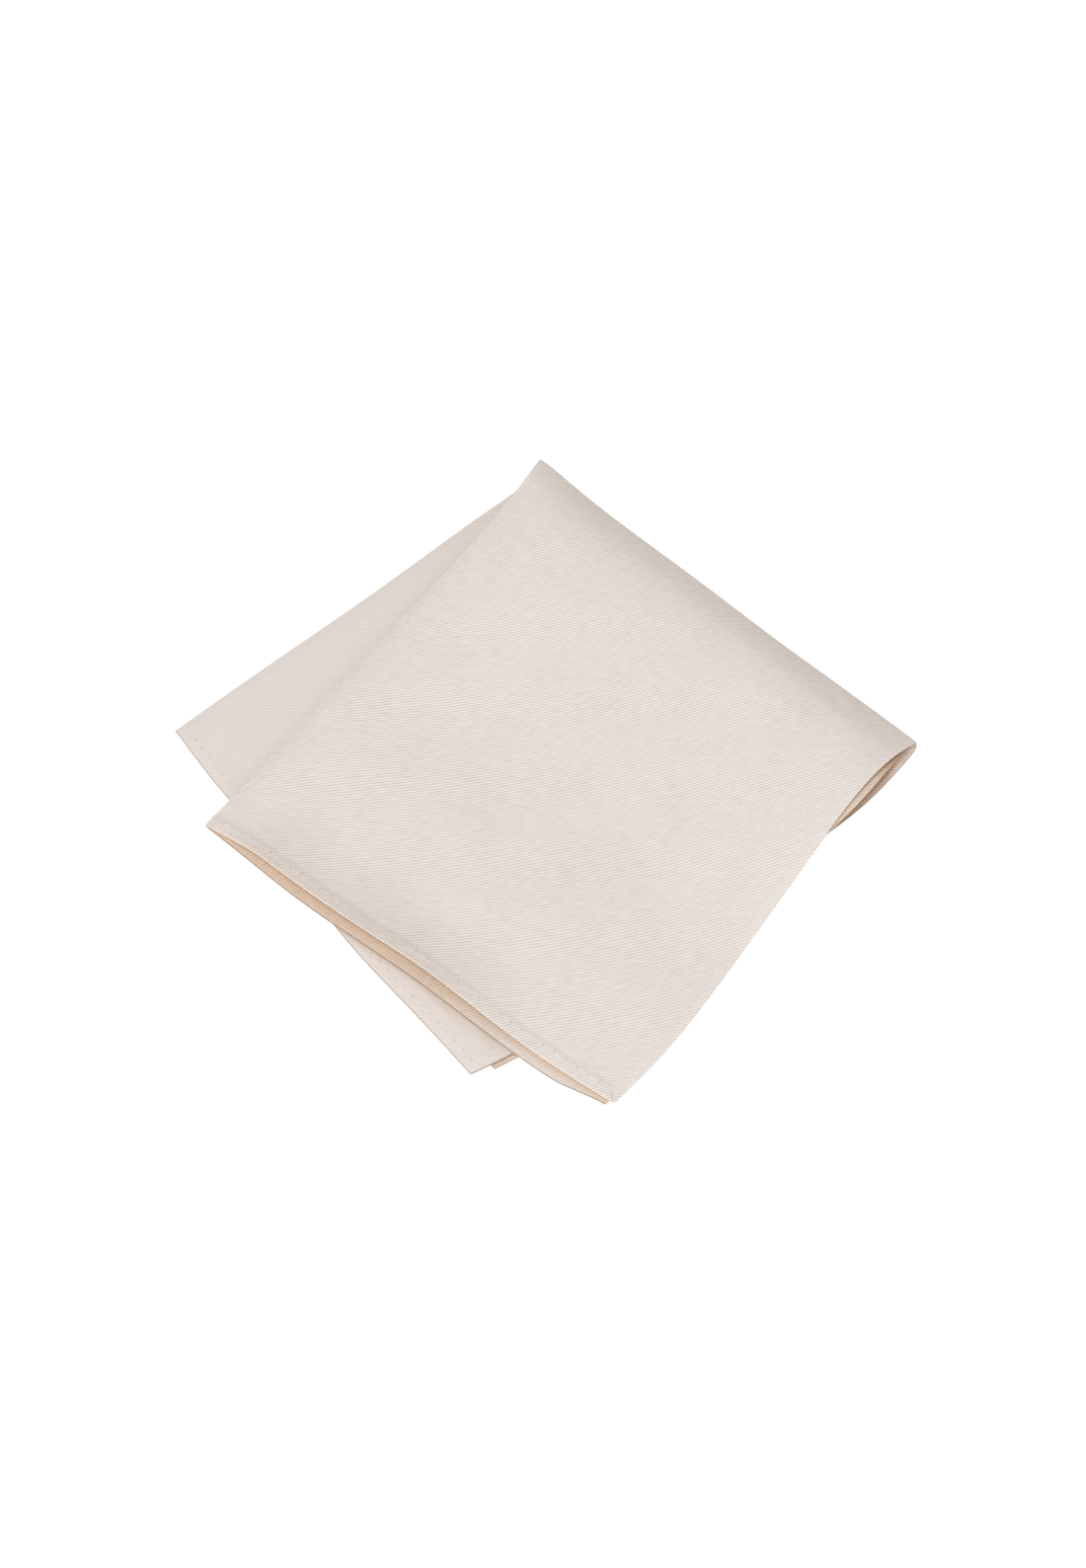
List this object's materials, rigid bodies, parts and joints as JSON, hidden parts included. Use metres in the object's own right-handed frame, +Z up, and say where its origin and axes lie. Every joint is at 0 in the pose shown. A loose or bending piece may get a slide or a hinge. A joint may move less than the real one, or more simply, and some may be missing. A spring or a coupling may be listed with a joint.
{
  "type": "folded pocket square",
  "caption": "Square hemmed twill cloth folded into a quarter, with the lower leaves fanned out to one side, lying flat.",
  "frame": {"origin": "middle of the folded cloth's box, at the height it rests on", "axes": "+Z up from the surface it lies on; -Y towards the front corner of the leaves and +Y towards the closed tip; +X towards the open right corner"},
  "size_m": [0.2336, 0.2336, 0.0106],
  "materials": {
    "ivory_twill": "soft sheen, fine diagonal twill"
  },
  "bodies": {
    "root": {"pocket_square": "ivory_twill"}
  },
  "joints": []
}
